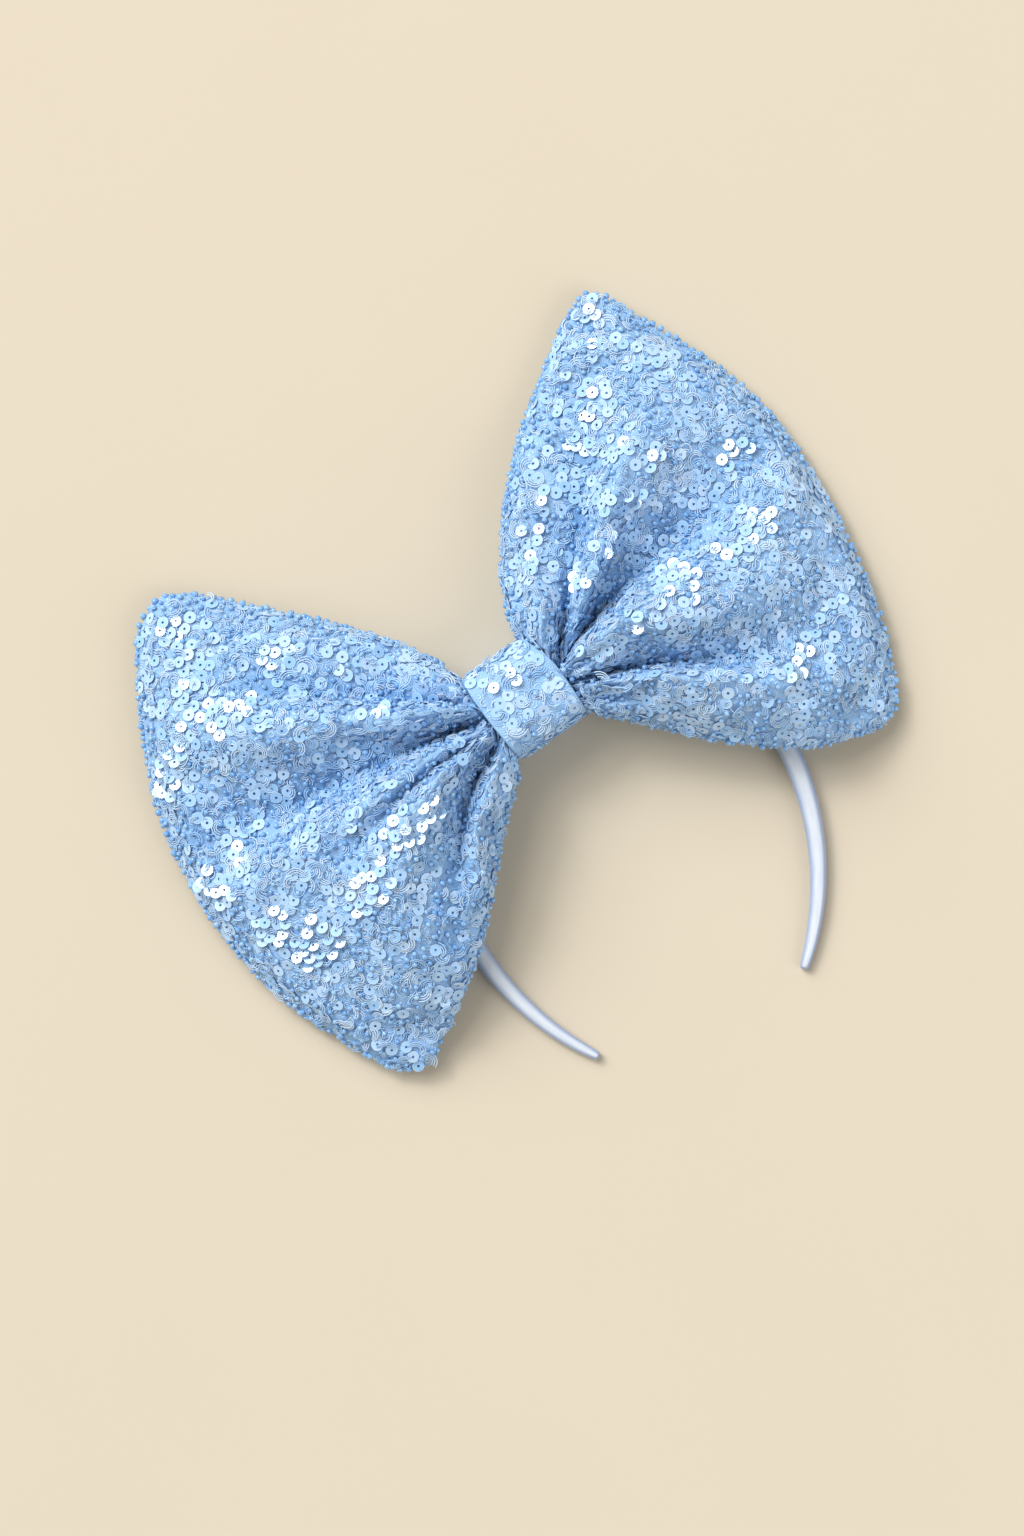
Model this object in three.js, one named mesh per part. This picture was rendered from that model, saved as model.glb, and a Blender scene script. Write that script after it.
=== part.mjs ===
// Bow headband: a large padded bow bound to a satin-covered headband, lying on its back.
//
// Millimetres. The bow's long axis is X, its upper edges point to +Y and its face looks up +Z.
// The origin is the centre of the knot wrap's flat back, on the surface that the headband lies on.

import * as THREE from 'three';

// Driving sizes

const gap = 0.3;                        // clearance between touching pieces
const seamThickness = 3;                // two layers of cloth turned in at the loops' edges

const wrap = {                          // the strip that binds the two necks and the band
  halfHeight: 18.75,
  depth: 36.8,
  thickness: 2.2,
  frontRadius: 11,
  backRadius: 7,
  edgeRounding: 0.7,
  arcSteps: 8,
};
const wrapEdges = [                     // where the strip's two edges run, seen from the front
  { y: -19, left: -15.2, right: 17.5 },
  { y: 0, left: -16.6, right: 17.7 },
  { y: 9, left: -16.8, right: 16.4 },
  { y: 19, left: -16.4, right: 13.2 },
];

const band = {                          // the C-shaped padded headband
  centreX: 2.3,
  centreY: -68.2,
  leanDegrees: 11.6,                    // the band's own axis leans to the right of the bow's
  crownRadius: 73.3,                    // half circle over the crown
  sideRadius: 116.7,                    // flatter arc down each side
  armLength: 199.5,                     // along the centre line from the crown to a tip
  crownWidth: 11.5,
  tipWidth: 3.8,
  crownDepth: 9.2,
  tipDepth: 4.2,
  crownUnderside: 2.5,                  // above the resting surface; the tips lie on it
  steps: 26,                            // along each arm
  sides: 12,
};

const neckHalfHeight = 15.9;            // the gathered ends of the loops, inside the wrap
const bandClearance = {                 // where the loops' backs pass over the band
  height: 12.3,
  ridge: 7,                             // half width of the raised strip over the band
  outerEdge: 48,                        // from here outwards the backs lie on the surface
};
const loopRows = 18;
const loopColumns = 48;
const fanOut = 1.15;                    // crowds the columns towards the two seams
const backCreaseShare = 0.35;

// The loops' profile from the mouth of the wrap (s = 0) to the outer edge (s = 1)
const fullness = [
  { s: 0.00, thickness: 20, backShare: 0.50, edgeLift: 0.0 },
  { s: 0.07, thickness: 26, backShare: 0.46, edgeLift: 0.0 },
  { s: 0.25, thickness: 34, backShare: 0.32, edgeLift: 0.0 },
  { s: 0.50, thickness: 37, backShare: 0.24, edgeLift: 0.0 },
  { s: 0.75, thickness: 31, backShare: 0.20, edgeLift: 0.4 },
  { s: 0.90, thickness: 20, backShare: 0.20, edgeLift: 2.2 },
  { s: 0.96, thickness: 13, backShare: 0.20, edgeLift: 3.6 },
  { s: 1.00, thickness: 3, backShare: 0.20, edgeLift: 5.0 },
];

const leftLoop = {
  side: -1,
  edge: 'left',
  top: [
    { x: -18.6, y: 24 }, { x: -30, y: 46 }, { x: -46, y: 66 }, { x: -70, y: 92 },
    { x: -88, y: 109.5 }, { x: -97, y: 114 },
  ],
  outer: [
    { x: -119, y: -96 }, { x: -126.5, y: -88 }, { x: -136.5, y: -68 }, { x: -145, y: -44 },
    { x: -150, y: -16 }, { x: -149.5, y: 12 }, { x: -143, y: 46 }, { x: -130, y: 76 },
    { x: -114, y: 102 }, { x: -106, y: 110.5 }, { x: -97, y: 114 },
  ],
  bottom: [
    { x: -19, y: -22 }, { x: -38, y: -39 }, { x: -62, y: -62.5 }, { x: -86, y: -81 },
    { x: -104, y: -91.5 }, { x: -112.5, y: -96 }, { x: -119, y: -96 },
  ],
  // Each fold starts at the mouth and fades out at its reach; t runs from -1, bottom, to 1, top.
  folds: [
    { mouth: 0.43, end: 0.73, reach: 0.95, depth: 11.0, width: 0.10 },
    { mouth: 0.03, end: 0.17, reach: 1.25, depth: 17.0, width: 0.10 },
    { mouth: -0.14, end: -0.20, reach: 0.65, depth: 9.0, width: 0.06 },
    { mouth: -0.43, end: -1.00, reach: 0.72, depth: 14.0, width: 0.09 },
  ],
};

const rightLoop = {
  side: 1,
  edge: 'right',
  top: [
    { x: 13.9, y: 19.6 }, { x: 13.6, y: 24 }, { x: 18, y: 36.5 }, { x: 34, y: 61 },
    { x: 58, y: 84 }, { x: 82, y: 101 }, { x: 100, y: 112 }, { x: 111, y: 116.5 },
  ],
  outer: [
    { x: 118, y: -87.5 }, { x: 123, y: -80 }, { x: 131, y: -62 }, { x: 138, y: -38 },
    { x: 143, y: -8 }, { x: 144.5, y: 22 }, { x: 141.5, y: 50 }, { x: 131, y: 80 },
    { x: 120, y: 104 }, { x: 116, y: 113 }, { x: 111, y: 116.5 },
  ],
  bottom: [
    { x: 19.6, y: -19.4 }, { x: 34, y: -35 }, { x: 50, y: -52.5 }, { x: 66, y: -67.5 },
    { x: 84, y: -80 }, { x: 100, y: -86.5 }, { x: 111, y: -88.5 }, { x: 118, y: -87.5 },
  ],
  folds: [
    { mouth: 0.17, end: 0.93, reach: 0.90, depth: 15.0, width: 0.10 },
    { mouth: 0.05, end: 0.15, reach: 1.00, depth: 17.0, width: 0.10 },
    { mouth: -0.38, end: -0.64, reach: 0.95, depth: 15.0, width: 0.065 },
  ],
};

// Small numeric helpers

const smoothstep = (low, high, value) => THREE.MathUtils.smoothstep(value, low, high);

// Reads a named column of a table at any value of its key column, by a smooth curve through the rows.
function readColumn(rows, key, column, value) {
  const last = rows.length - 1;
  let k = 0;
  while (k < last - 1 && rows[k + 1][key] < value) k += 1;
  const slope = (i) => {
    const before = rows[Math.max(i - 1, 0)];
    const after = rows[Math.min(i + 1, last)];
    return (after[column] - before[column]) / (after[key] - before[key]);
  };
  const span = rows[k + 1][key] - rows[k][key];
  const u = THREE.MathUtils.clamp((value - rows[k][key]) / span, 0, 1);
  const start = rows[k][column];
  const end = rows[k + 1][column];
  const rise = u * u * (3 - 2 * u);
  const bend = u * (1 - u) * ((1 - u) * slope(k) - u * slope(k + 1));
  return start + (end - start) * rise + span * bend;
}

// Skins a row of rings that all have the same number of points. An open row gets a cap at each
// end, laid like the rungs of a ladder between the ring's two halves.
function skin(rings, closed) {
  const sides = rings[0].length;
  const positions = rings.flat().flatMap((point) => [point.x, point.y, point.z]);
  const triangles = [];
  const quad = (a, b, c, d) => triangles.push(a, b, c, a, c, d);
  const spans = closed ? rings.length : rings.length - 1;
  for (let row = 0; row < spans; row += 1) {
    const here = row * sides;
    const next = ((row + 1) % rings.length) * sides;
    for (let k = 0; k < sides; k += 1) {
      const after = (k + 1) % sides;
      quad(here + k, here + after, next + after, next + k);
    }
  }
  if (!closed) {
    const end = (rings.length - 1) * sides;
    for (let k = 0; k < sides / 2 - 1; k += 1) {
      const across = sides - 1 - k;
      quad(k, across, across - 1, k + 1);
      quad(end + k, end + k + 1, end + across - 1, end + across);
    }
  }
  const geometry = new THREE.BufferGeometry();
  geometry.setAttribute('position', new THREE.Float32BufferAttribute(positions, 3));
  geometry.setIndex(facesOut(positions, triangles));
  geometry.computeVertexNormals();
  return geometry;
}

// Turns the triangles round if the volume that they enclose comes out negative.
function facesOut(positions, triangles) {
  const corner = (index) => new THREE.Vector3().fromArray(positions, index * 3);
  let volume = 0;
  for (let k = 0; k < triangles.length; k += 3) {
    const [a, b, c] = [0, 1, 2].map((offset) => corner(triangles[k + offset]));
    volume += a.dot(b.cross(c)) / 6;
  }
  return volume > 0 ? triangles : triangles.reverse();
}

// Knot wrap

const wrapEdge = (side, y) => readColumn(wrapEdges, 'y', side, y);

// The strip's section at one place round the knot: a flat bar with rounded edges, from its inner
// face to its outer face, where (outY, outZ) is the direction that faces outwards there.
function wrapSection(y, z, outY, outZ) {
  const point = (edge, inset, depth) => {
    const atY = y + outY * depth;
    const x = wrapEdge(edge, THREE.MathUtils.clamp(atY, -wrap.halfHeight, wrap.halfHeight));
    return new THREE.Vector3(x + (edge === 'left' ? inset : -inset), atY, z + outZ * depth);
  };
  const round = wrap.edgeRounding;
  const inner = -wrap.thickness;
  return [
    point('left', round, inner), point('right', round, inner),
    point('right', 0, inner + round), point('right', 0, -round),
    point('right', round, 0), point('left', round, 0),
    point('left', 0, -round), point('left', 0, inner + round),
  ];
}

// The strip carried once round a rounded rectangle that holds the necks and the band.
function knotWrap() {
  const { halfHeight, depth, frontRadius, backRadius, arcSteps } = wrap;
  const corners = [
    { y: halfHeight - frontRadius, z: depth - frontRadius, radius: frontRadius, start: 0 },
    { y: frontRadius - halfHeight, z: depth - frontRadius, radius: frontRadius, start: 90 },
    { y: backRadius - halfHeight, z: backRadius, radius: backRadius, start: 180 },
    { y: halfHeight - backRadius, z: backRadius, radius: backRadius, start: 270 },
  ];
  const sections = corners.flatMap(({ y, z, radius, start }) => (
    Array.from({ length: arcSteps + 1 }, (_, k) => {
      const angle = THREE.MathUtils.degToRad(start + 90 * k / arcSteps);
      const outY = Math.cos(angle);
      const outZ = Math.sin(angle);
      return wrapSection(y + radius * outY, z + radius * outZ, outY, outZ);
    })
  ));
  return skin(sections, true);
}

// Band

// A point of the centre line at a distance along it from the crown, negative to the left, with
// the direction that points away from the head there.
function bandPlace(distance) {
  const { crownRadius, sideRadius } = band;
  const side = Math.sign(distance) || 1;
  const length = Math.abs(distance);
  const quarter = crownRadius * Math.PI / 2;
  const onCrown = length <= quarter;
  const turn = onCrown ? length / crownRadius : Math.PI / 2 + (length - quarter) / sideRadius;
  const radius = onCrown ? crownRadius : sideRadius;
  const centre = onCrown ? 0 : crownRadius - sideRadius;
  const out = new THREE.Vector2(side * Math.sin(turn), Math.cos(turn));
  const place = out.clone().multiplyScalar(radius).add(new THREE.Vector2(side * centre, 0));
  const origin = new THREE.Vector2();
  const lean = THREE.MathUtils.degToRad(-band.leanDegrees);
  out.rotateAround(origin, lean);
  const drop = crownRadius - place.y;
  place.rotateAround(origin, lean).add(new THREE.Vector2(band.centreX, band.centreY));
  return { place, out, drop };
}

// The band's oval section there, on its flat underside's sloping plane.
function bandRing(distance, scale) {
  const { place, out, drop } = bandPlace(distance);
  const toTip = Math.sqrt(Math.max(1 - Math.abs(distance) / band.armLength, 0));
  const halfWidth = scale * THREE.MathUtils.lerp(band.tipWidth, band.crownWidth, toTip) / 2;
  const halfDepth = scale * THREE.MathUtils.lerp(band.tipDepth, band.crownDepth, toTip) / 2;
  const underside = band.crownUnderside * (1 - drop / bandPlace(band.armLength).drop);
  return Array.from({ length: band.sides }, (_, k) => {
    const angle = 2 * Math.PI * (k + 0.5) / band.sides;
    const across = halfWidth * Math.cos(angle);
    return new THREE.Vector3(
      place.x + out.x * across,
      place.y + out.y * across,
      underside + halfDepth * (1 + Math.sin(angle)),
    );
  });
}

// The whole band from the right tip to the left one, with both tips rounded off.
function headband() {
  const { armLength, steps, tipWidth } = band;
  const tipRadius = tipWidth / 2;
  const roundedTip = [20, 45, 70, 90].map((degrees) => {
    const angle = THREE.MathUtils.degToRad(degrees);
    return { distance: armLength - tipRadius * (1 - Math.sin(angle)), scale: Math.cos(angle) };
  }).filter(({ scale }) => scale > 0.1).reverse();
  const arm = [];
  for (let k = 0; k < steps; k += 1) {
    arm.push({ distance: (armLength - tipRadius) * (1 - k / steps), scale: 1 });
  }
  const right = [...roundedTip, ...arm];
  const left = right.map(({ distance, scale }) => ({ distance: -distance, scale })).reverse();
  return skin([...right, { distance: 0, scale: 1 }, ...left]
    .map(({ distance, scale }) => bandRing(distance, scale)), false);
}

// Loops

// A smooth curve through points given by their x and y.
const spline = (points) => new THREE.CatmullRomCurve3(
  points.map(({ x, y }) => new THREE.Vector3(x, y, 0)), false, 'centripetal',
);

// The loop's plan: the four edges of its outline blended across (a Coons patch).
function loopPlan({ side, edge, top, outer, bottom }) {
  const mouth = (t) => {
    const y = t * neckHalfHeight;
    return new THREE.Vector3(wrapEdge(edge, y) + side * gap, y, 0);
  };
  const topCurve = spline([mouth(1), ...top]);
  const bottomCurve = spline([mouth(-1), ...bottom]);
  const outerCurve = spline(outer);
  const corners = [bottomCurve, topCurve].map((curve) => [curve.getPointAt(0), curve.getPointAt(1)]);
  return (s, t) => {
    const up = (t + 1) / 2;
    const across = bottomCurve.getPointAt(s).lerp(topCurve.getPointAt(s), up);
    const along = mouth(t).lerp(outerCurve.getPointAt(up), s);
    const low = corners[0][0].clone().lerp(corners[0][1], s);
    const high = corners[1][0].clone().lerp(corners[1][1], s);
    return across.add(along).sub(low.lerp(high, up));
  };
}

// How far the folds sink the cloth at (s, t). A fold is sharp where it leaves the knot and soft
// further out, twice as wide above its line as below, with a low shoulder along each side.
function foldDepth(folds, s, t) {
  return folds.reduce((sum, { mouth, end, reach, depth, width }) => {
    const q = Math.min(s / reach, 1);
    const above = t - THREE.MathUtils.lerp(mouth, end, q);
    const spread = width * (1 + 0.8 * q) * (1 + 0.35 * Math.tanh(above / 0.03));
    const offset = Math.abs(above) / spread;
    const fade = (1 - q * q) * (0.3 + 0.7 * smoothstep(0, 0.12, s));
    const groove = Math.exp(-(offset ** (1.2 + 0.8 * q)));
    const shoulder = 0.3 * Math.exp(-(((offset - 1.9) / 0.8) ** 2));
    return sum + depth * fade * (groove - shoulder);
  }, 0);
}

// The height of the loop's back where it passes over the band and down to the surface.
function liftOverBand(x, y) {
  const fromBand = Math.hypot(x - band.centreX, y - band.centreY) - band.crownRadius;
  return bandClearance.height * (1 - smoothstep(bandClearance.ridge, bandClearance.outerEdge, fromBand));
}

// The back and front heights of the padded loop above the resting surface.
function loopHeights(loop, s, t, place) {
  const column = (name) => readColumn(fullness, 's', name, s);
  const full = column('thickness');
  const swell = (1 - Math.abs(t) ** 2.4) ** (0.5 + 0.3 * s);
  const thickness = seamThickness + (full - seamThickness) * swell;
  const fold = foldDepth(loop.folds, s, t) * swell * (1 - smoothstep(0.78, 1, s));
  const rise = column('edgeLift') + column('backShare') * (full - thickness);
  const back = liftOverBand(place.x, place.y) + rise;
  return { back: back + backCreaseShare * Math.max(fold, 0), front: back + thickness - fold };
}

// One loop: a ring of cloth for each row, across the front and back along the back, from the
// hidden end of the neck to the outer edge.
function bowLoop(loop) {
  const plan = loopPlan(loop);
  const columns = Array.from({ length: loopColumns + 1 }, (_, k) => (
    Math.sin(fanOut * (2 * k / loopColumns - 1)) / Math.sin(fanOut)
  ));
  const ring = (s, moveTo) => {
    const fronts = [];
    const backs = [];
    for (const t of columns) {
      const place = plan(s, t);
      const { back, front } = loopHeights(loop, s, t, place);
      const x = moveTo ?? place.x;
      fronts.push(new THREE.Vector3(x, place.y, front));
      backs.push(new THREE.Vector3(x, place.y, back));
    }
    return [...fronts, ...backs.reverse()];
  };
  const rings = [ring(0, loop.side * gap / 2)];
  for (let row = 0; row <= loopRows; row += 1) {
    rings.push(ring((1 - Math.cos(Math.PI * row / loopRows)) / 2));
  }
  return skin(rings, false);
}

// Assembly

const sequinCloth = { roughness: 0.35, metalness: 0.1 };
const pieces = [
  { name: 'band', geometry: headband(), colour: '#c6d4ee', roughness: 0.3, metalness: 0 },
  { name: 'left_loop', geometry: bowLoop(leftLoop), colour: '#8fb8e6', ...sequinCloth },
  { name: 'right_loop', geometry: bowLoop(rightLoop), colour: '#8fb8e6', ...sequinCloth },
  { name: 'knot_wrap', geometry: knotWrap(), colour: '#9dc2ec', ...sequinCloth },
];

const bowHeadband = new THREE.Group();
for (const { name, geometry, colour, roughness, metalness } of pieces) {
  const material = new THREE.MeshStandardMaterial({ color: colour, roughness, metalness });
  const mesh = new THREE.Mesh(geometry, material);
  mesh.name = name;
  bowHeadband.add(mesh);
}

export default bowHeadband;
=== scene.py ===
import math

import bpy
import numpy as np
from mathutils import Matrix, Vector


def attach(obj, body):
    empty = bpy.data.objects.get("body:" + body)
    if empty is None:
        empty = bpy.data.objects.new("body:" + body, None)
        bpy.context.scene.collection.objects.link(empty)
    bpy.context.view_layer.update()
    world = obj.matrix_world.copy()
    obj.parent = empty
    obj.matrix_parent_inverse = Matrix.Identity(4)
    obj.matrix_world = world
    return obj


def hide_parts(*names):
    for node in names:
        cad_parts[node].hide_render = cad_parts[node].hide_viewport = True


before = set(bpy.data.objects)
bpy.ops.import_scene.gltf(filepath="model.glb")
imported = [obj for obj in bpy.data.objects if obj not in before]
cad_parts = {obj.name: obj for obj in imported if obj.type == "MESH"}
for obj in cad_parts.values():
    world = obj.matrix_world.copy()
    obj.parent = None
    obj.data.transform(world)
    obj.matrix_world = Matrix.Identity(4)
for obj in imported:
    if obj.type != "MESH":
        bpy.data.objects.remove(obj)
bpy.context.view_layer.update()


# The band is a sprung plastic strip in soft padding, covered with a tube of pale satin cut on the
# bias and glued shut at both tips. It runs behind the bow and through the knot, and lies on its edge.

MM = 0.001
BAND_CENTRE = (2.3, -68.2)
BAND_LEAN = math.radians(-11.6)
CROWN_RADIUS = 73.3
SIDE_RADIUS = 116.7
ARM_LENGTH = 199.5
CROWN_WIDTH, TIP_WIDTH = 11.5, 2.9
CROWN_DEPTH, TIP_DEPTH = 9.2, 4.0
CROWN_UNDERSIDE = 2.5
TIP_ROUNDING = np.radians([12, 24, 38, 52, 66, 78, 86])
DRAG_DEPTH = 0.035
DRAG_TURN = 1.9          # radians to a millimetre along the band: a line every 3.3 mm
DRAG_DRIFT = 1.2         # in radians, by which the lines come sooner or later
DRAG_DRIFT_TURN = 0.31
BAND_STEPS = 220
BAND_SIDES = 40
SATIN = "#dbe5f2"
# the deeper blue of the satin's random mottling, and of the painted shade where the band turns away
# from the eye
SATIN_SHADE = "#96abd2"
WEAVE_SPACING = 0.14     # between two slanted lines, about as fine as the real weave
WEAVE_RADIUS = 4.5       # where the section has this radius, the lines slant by 45 degrees
WAVE_UNIT = 2 * math.pi / 20     # the wave texture's scale at which a unit holds one wave


def unit(vectors):
    """Each vector divided by its length."""
    return vectors / np.maximum(np.linalg.norm(vectors, axis=-1, keepdims=True), 1e-12)


def mesh_piece(name, points, faces, smooth=True):
    """An object whose mesh holds the points, given in mm, and the faces, given as rows of indices."""
    faces = np.asarray(faces, dtype=np.int32)
    corners = faces.shape[1]
    mesh = bpy.data.meshes.new(name)
    mesh.vertices.add(len(points))
    mesh.vertices.foreach_set("co", (np.asarray(points) * MM).astype(np.float32).ravel())
    mesh.loops.add(faces.size)
    mesh.loops.foreach_set("vertex_index", faces.ravel())
    mesh.polygons.add(len(faces))
    mesh.polygons.foreach_set("loop_start", np.arange(0, faces.size, corners, dtype=np.int32))
    mesh.polygons.foreach_set("use_smooth", np.full(len(faces), smooth))
    mesh.update(calc_edges=True)
    piece = bpy.data.objects.new(name, mesh)
    bpy.context.scene.collection.objects.link(piece)
    return piece


def store(piece, name, values):
    """Keeps one number for each point of the mesh, for the material to read."""
    layer = piece.data.attributes.new(name, "FLOAT", "POINT")
    layer.data.foreach_set("value", np.asarray(values, dtype=np.float32).ravel())


def skin(rows, sides, closed=False):
    """Quads over rows of points that each close on themselves. Open rows get a cap at each end,
    whose quads join the two halves of the end ring like the rungs of a ladder."""
    spans = rows if closed else rows - 1
    here = np.arange(spans)[:, None] * sides
    following = (np.arange(1, spans + 1) % rows)[:, None] * sides
    k = np.arange(sides)[None, :]
    after = (k + 1) % sides
    wall = np.stack([here + k, here + after, following + after, following + k], -1).reshape(-1, 4)
    if closed:
        return wall
    k = np.arange(sides // 2 - 1)
    start = np.stack([k, sides - 1 - k, sides - 2 - k, k + 1], -1)
    end = (rows - 1) * sides + start[:, ::-1]
    return np.concatenate([wall, start, end])


def faces_out(points, faces):
    """Turns every face round if the volume that the faces enclose comes out negative."""
    a, b, c = (points[faces[:, k]] for k in (0, 1, 2))
    volume = (a * np.cross(b, c)).sum()
    if faces.shape[1] == 4:
        volume += (a * np.cross(c, points[faces[:, 3]])).sum()
    return faces if volume > 0 else faces[:, ::-1]


def add_node(tree, kind, inputs=None, **settings):
    """Adds a node with its settings. An input is given by name or number, as a value or a link."""
    node = tree.nodes.new(kind)
    for name, value in settings.items():
        setattr(node, name, value)
    for key, value in (inputs or {}).items():
        if isinstance(value, bpy.types.NodeSocket):
            tree.links.new(value, node.inputs[key])
        else:
            node.inputs[key].default_value = value
    return node


def linear(colour):
    """A colour written as sRGB hex, as linear red, green, blue and alpha."""
    parts = np.array([int(colour[k:k + 2], 16) for k in (1, 3, 5)]) / 255
    return (*np.where(parts <= 0.04045, parts / 12.92, ((parts + 0.055) / 1.055) ** 2.4), 1.0)


def start_material(name):
    """A new material with an empty node tree, apart from its output."""
    material = bpy.data.materials.new(name)
    material.use_nodes = True
    material.node_tree.nodes.clear()
    output = material.node_tree.nodes.new("ShaderNodeOutputMaterial")
    return material, material.node_tree, output


def band_path(distance):
    """The centre line at a distance from the crown, negative to the left: a half circle over the
    crown, then a flatter arc down each side, all turned by the lean about the crown's centre.
    Also gives the direction away from the head and how far down from the crown each point lies."""
    side = np.where(distance < 0, -1.0, 1.0)
    length = np.abs(distance)
    quarter = CROWN_RADIUS * np.pi / 2
    on_crown = length <= quarter
    turn = np.where(on_crown, length / CROWN_RADIUS, np.pi / 2 + (length - quarter) / SIDE_RADIUS)
    radius = np.where(on_crown, CROWN_RADIUS, SIDE_RADIUS)
    centre = np.where(on_crown, 0, CROWN_RADIUS - SIDE_RADIUS)
    out = np.stack([side * np.sin(turn), np.cos(turn)], -1)
    place = out * radius[:, None]
    place[:, 0] += side * centre
    drop = CROWN_RADIUS - place[:, 1]
    turned = np.array([[math.cos(BAND_LEAN), math.sin(BAND_LEAN)],
                       [-math.sin(BAND_LEAN), math.cos(BAND_LEAN)]])
    return place @ turned + BAND_CENTRE, out @ turned, drop


def satin_band():
    """The oval section carried along the centre line. Its width and depth shrink with the square
    root of the distance left to the tip, its underside slopes from the crown to the tips, and
    faint drag lines run round it where the satin is pulled over the bend: a sine of the distance
    that a slower sine puts out of step."""
    tip = TIP_WIDTH / 2
    body = np.linspace(-(ARM_LENGTH - tip), ARM_LENGTH - tip, BAND_STEPS)
    ends = ARM_LENGTH - tip * (1 - np.sin(TIP_ROUNDING))
    distance = np.concatenate([-ends[::-1], body, ends])
    scale = np.concatenate([np.cos(TIP_ROUNDING[::-1]), np.ones(BAND_STEPS), np.cos(TIP_ROUNDING)])
    place, out, drop = band_path(distance)
    to_tip = np.sqrt(np.clip(1 - np.abs(distance) / ARM_LENGTH, 0, 1))
    width = scale * (TIP_WIDTH + (CROWN_WIDTH - TIP_WIDTH) * to_tip) / 2
    depth = scale * (TIP_DEPTH + (CROWN_DEPTH - TIP_DEPTH) * to_tip) / 2
    underside = CROWN_UNDERSIDE * (1 - drop / drop.max())
    angle = 2 * np.pi * (np.arange(BAND_SIDES) + 0.5) / BAND_SIDES
    drift = DRAG_DRIFT * np.sin(distance * DRAG_DRIFT_TURN)
    drag = (DRAG_DEPTH * np.sin(distance * DRAG_TURN + drift))[:, None]
    drag = drag * (0.5 - 0.5 * np.cos(angle)) * scale[:, None]
    across = (width[:, None] + drag) * np.cos(angle)
    flat = place[:, None] + out[:, None] * across[..., None]
    height = underside[:, None] + depth[:, None] * (1 + np.sin(angle))
    points = np.concatenate([flat, height[..., None]], -1).reshape(-1, 3)
    faces = faces_out(points, skin(len(distance), BAND_SIDES))
    piece = mesh_piece("satin_band", points, faces)
    store(piece, "along", np.repeat(distance, BAND_SIDES))
    store(piece, "around", np.tile(angle, len(distance)))
    return piece


def satin_material():
    """Polyester satin on the bias, whose long floats have a sheen. The sheen is painted into the
    colour:
    a painted pale streak along the band where it faces the eye, and a deeper blue, painted shade, where
    it turns away."""
    material, tree, output = start_material("polyester satin")
    along = add_node(tree, "ShaderNodeAttribute", attribute_name="along")
    around = add_node(tree, "ShaderNodeAttribute", attribute_name="around")
    place = add_node(tree, "ShaderNodeCombineXYZ", {0: along.outputs["Fac"], 1: around.outputs["Fac"]})
    stretch = add_node(tree, "ShaderNodeMapping", {0: place.outputs[0], "Scale": (0.06, 1.4, 1)})
    cloud = add_node(tree, "ShaderNodeTexNoise", {"Vector": stretch.outputs[0], "Scale": 1.5,
                                                  "Detail": 3})
    # Painted sheen: where the band turns away from the eye, Layer Weight moves the colour towards the
    # deeper blue
    edge = add_node(tree, "ShaderNodeLayerWeight", {"Blend": 0.5})
    shade = add_node(tree, "ShaderNodeMapRange", {"Value": cloud.outputs["Fac"], "From Min": 0.3,
                                                  "From Max": 0.7, "To Min": 0.0, "To Max": 0.25})
    turned = add_node(tree, "ShaderNodeMapRange", {"Value": edge.outputs["Facing"], "From Min": 0.02,
                                                   "From Max": 0.4, "To Min": 0.0, "To Max": 1.0})
    amount = add_node(tree, "ShaderNodeMath", {0: shade.outputs[0], 1: turned.outputs[0]},
                      operation="ADD", use_clamp=True)
    colour = add_node(tree, "ShaderNodeMix", {"Factor": amount.outputs[0], "A": linear(SATIN),
                                              "B": linear(SATIN_SHADE)}, data_type="RGBA")
    weave_place = add_node(tree, "ShaderNodeMapping", {
        0: place.outputs[0], "Rotation": (0, 0, math.radians(45)),
        "Scale": (1 / WEAVE_SPACING, WEAVE_RADIUS / WEAVE_SPACING, 1)})
    weave = add_node(tree, "ShaderNodeTexWave", {"Vector": weave_place.outputs[0],
                                                 "Scale": WAVE_UNIT, "Distortion": 0.6},
                     wave_profile="SIN")
    bump = add_node(tree, "ShaderNodeBump", {"Height": weave.outputs["Fac"], "Strength": 0.12,
                                             "Distance": 0.00005})
    shader = add_node(tree, "ShaderNodeBsdfPrincipled", {
        "Base Color": colour.outputs["Result"], "Roughness": 0.27, "Specular IOR Level": 1.0,
        "Coat Weight": 0.35, "Coat Roughness": 0.22, "Normal": bump.outputs[0]})
    tree.links.new(shader.outputs[0], output.inputs[0])
    return material


band = satin_band()
band.data.materials.append(satin_material())
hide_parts("band")
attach(band, "root")


# The two loops are pillows of embroidered cloth over light wadding. A front and a back panel are
# sewn together round the edge, and their necks are gathered hard and bound by the knot. The front
# panels are puffed and creased by a short cloth simulation.

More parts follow.
